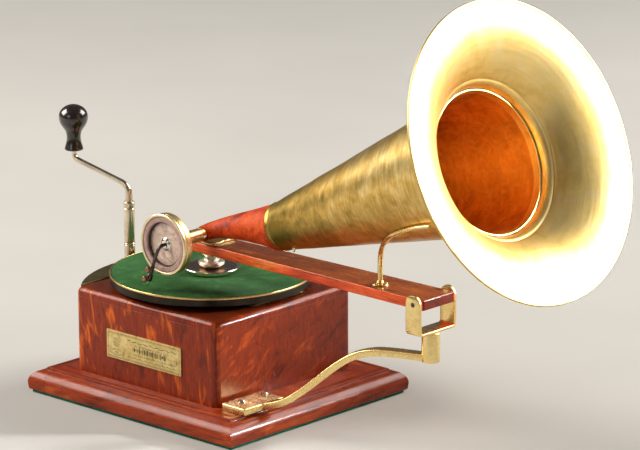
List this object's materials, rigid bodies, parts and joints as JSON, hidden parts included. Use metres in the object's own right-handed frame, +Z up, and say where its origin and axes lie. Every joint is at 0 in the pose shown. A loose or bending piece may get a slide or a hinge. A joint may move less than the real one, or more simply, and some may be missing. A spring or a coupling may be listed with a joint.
{
  "type": "wind-up phonograph",
  "caption": "Tabletop disc phonograph: moulded wooden case, felt turntable, side crank, travelling wooden arm with soundbox and a flared brass horn.",
  "frame": {"origin": "centre of the underside of the base felt, on the surface it stands on", "axes": "+Z up, -Y out of the front with the name plate, +X the side the horn and the arm's bracket point to"},
  "size_m": [0.5795, 0.2528, 0.3963],
  "materials": {
    "mahogany": "french polished mahogany",
    "dark_mahogany": "french polished dark mahogany",
    "arm_wood": "polished red mahogany",
    "felt": "green wool felt",
    "base_felt": "blue-green baize",
    "brass": "lacquered polished brass",
    "horn_brass": "brushed and aged spun brass",
    "bronze": "dark bronzed brass",
    "nickel": "nickel plate",
    "steel": "mill steel",
    "movement_brass": "cut brass gearing",
    "copper": "coppery lacquered brass",
    "leather": "red-brown glazed leather",
    "ebony": "ebonised and polished turned wood",
    "mica": "clouded mica sheet",
    "gasket": "aged rubber"
  },
  "bodies": {
    "case": {"base_felt": "base_felt", "plinth": "mahogany", "case_front": "mahogany", "case_right": "mahogany", "case_back": "mahogany", "case_left": "mahogany", "case_top": "dark_mahogany", "name_plate": "brass", "winding_bracket": "bronze", "crank_bearing": "nickel", "idler_bridge": "steel", "motor_bottom_plate": "steel", "motor_top_plate": "steel", "motor_pillar_1": "movement_brass", "motor_pillar_2": "movement_brass", "motor_pillar_3": "movement_brass", "motor_pillar_4": "movement_brass", "governor_bracket_1": "movement_brass", "governor_bracket_2": "movement_brass", "foot_screw_1": "nickel", "foot_screw_2": "nickel", "bracket_bar": "brass"},
    "turntable": {"spindle": "steel", "turntable_platter": "brass", "turntable_felt": "felt", "clamp_disc": "nickel"},
    "clamp_nut": {"clamp_nut": "nickel"},
    "crank": {"crank_rod": "nickel", "crank_sleeve": "nickel"},
    "knob": {"crank_knob": "ebony"},
    "idler": {"idler_wheel": "movement_brass"},
    "winding_arbor": {"winding_arbor": "steel"},
    "barrel": {"spring_barrel": "movement_brass", "mainspring": "steel"},
    "middle": {"middle_arbor": "steel"},
    "governor": {"governor_shaft": "steel", "governor_weight_1": "movement_brass", "governor_weight_2": "movement_brass", "governor_weight_3": "movement_brass"},
    "brake": {"brake_lever": "brass"},
    "yoke": {"yoke": "brass"},
    "arm": {"arm": "arm_wood", "saddle_plate": "brass", "stay_foot": "brass", "horn_stay": "brass", "soundbox_back": "brass", "soundbox_ring": "brass", "soundbox_gasket": "gasket", "diaphragm": "mica", "sound_tube": "brass", "horn_cone": "horn_brass", "horn_bell": "horn_brass", "leather_elbow": "leather", "pivot_screw_1": "nickel", "pivot_screw_2": "nickel"},
    "stylus": {"stylus_bar": "steel", "needle": "steel"},
    "needle_screw": {"needle_screw": "copper"},
    "bar_screw": {"bar_screw": "copper"}
  },
  "joints": [
    {"name": "turntable_spin", "type": "hinge", "parent": "case", "child": "turntable", "pos_m": [-0.0038, -0.0024, 0.1], "axis": [0, 0, 1], "continuous": true},
    {"name": "clamp_nut_turn", "type": "hinge", "parent": "turntable", "child": "clamp_nut", "pos_m": [-0.0038, -0.0024, 0.12], "axis": [0, 0, 1], "continuous": true},
    {"name": "barrel_spin", "type": "hinge", "parent": "case", "child": "barrel", "pos_m": [-0.044, -0.0024, 0.06], "axis": [0, 0, 1], "continuous": true},
    {"name": "middle_spin", "type": "hinge", "parent": "case", "child": "middle", "pos_m": [-0.02, 0.0217, 0.06], "axis": [0, 0, 1], "continuous": true},
    {"name": "governor_spin", "type": "hinge", "parent": "case", "child": "governor", "pos_m": [0.0119, -0.018, 0.058], "axis": [0, 1, 0], "continuous": true},
    {"name": "crank_turn", "type": "hinge", "parent": "case", "child": "crank", "pos_m": [-0.106, -0.002, 0.1], "axis": [0, 0, 1], "continuous": true},
    {"name": "idler_turn", "type": "hinge", "parent": "case", "child": "idler", "pos_m": [-0.076, -0.0022, 0.08], "axis": [0, 0, 1], "continuous": true},
    {"name": "winding_turn", "type": "hinge", "parent": "case", "child": "winding_arbor", "pos_m": [-0.044, -0.0024, 0.08], "axis": [0, 0, 1], "continuous": true},
    {"name": "knob_spin", "type": "hinge", "parent": "crank", "child": "knob", "pos_m": [-0.16009, -0.01649, 0.21], "axis": [0, 0, 1], "continuous": true},
    {"name": "brake_turn", "type": "hinge", "parent": "case", "child": "brake", "pos_m": [0.068, -0.027, 0.0976], "axis": [0, 0, 1], "range_deg": [-1, 6]},
    {"name": "arm_swing", "type": "hinge", "parent": "case", "child": "yoke", "pos_m": [0.2595, -0.012, 0.1], "axis": [0, 0, 1], "range_deg": [-9, 12]},
    {"name": "arm_lift", "type": "hinge", "parent": "yoke", "child": "arm", "pos_m": [0.2595, -0.012, 0.1375], "axis": [0, 1, 0], "range_deg": [0, 30]},
    {"name": "stylus_rock", "type": "hinge", "parent": "arm", "child": "stylus", "pos_m": [0.00206, -0.079, 0.12843], "axis": [0.9361, 0, -0.3518], "range_deg": [-0.6, 0.6], "stiffness_Nm_per_rad": 0.5},
    {"name": "needle_screw_turn", "type": "hinge", "parent": "stylus", "child": "needle_screw", "pos_m": [-0.00058, -0.0833, 0.12141], "axis": [0, -1, 0], "continuous": true},
    {"name": "bar_screw_turn", "type": "hinge", "parent": "stylus", "child": "bar_screw", "pos_m": [0.00258, -0.0822, 0.12984], "axis": [0, -1, 0], "continuous": true}
  ],
  "couplings": [
    {"joint": "middle_spin", "follows": "turntable_spin", "ratio": -0.26667},
    {"joint": "barrel_spin", "follows": "turntable_spin", "ratio": 0.07619},
    {"joint": "governor_spin", "follows": "turntable_spin", "ratio": 20},
    {"joint": "idler_turn", "follows": "crank_turn", "ratio": -0.66667},
    {"joint": "winding_turn", "follows": "crank_turn", "ratio": 0.85714}
  ]
}
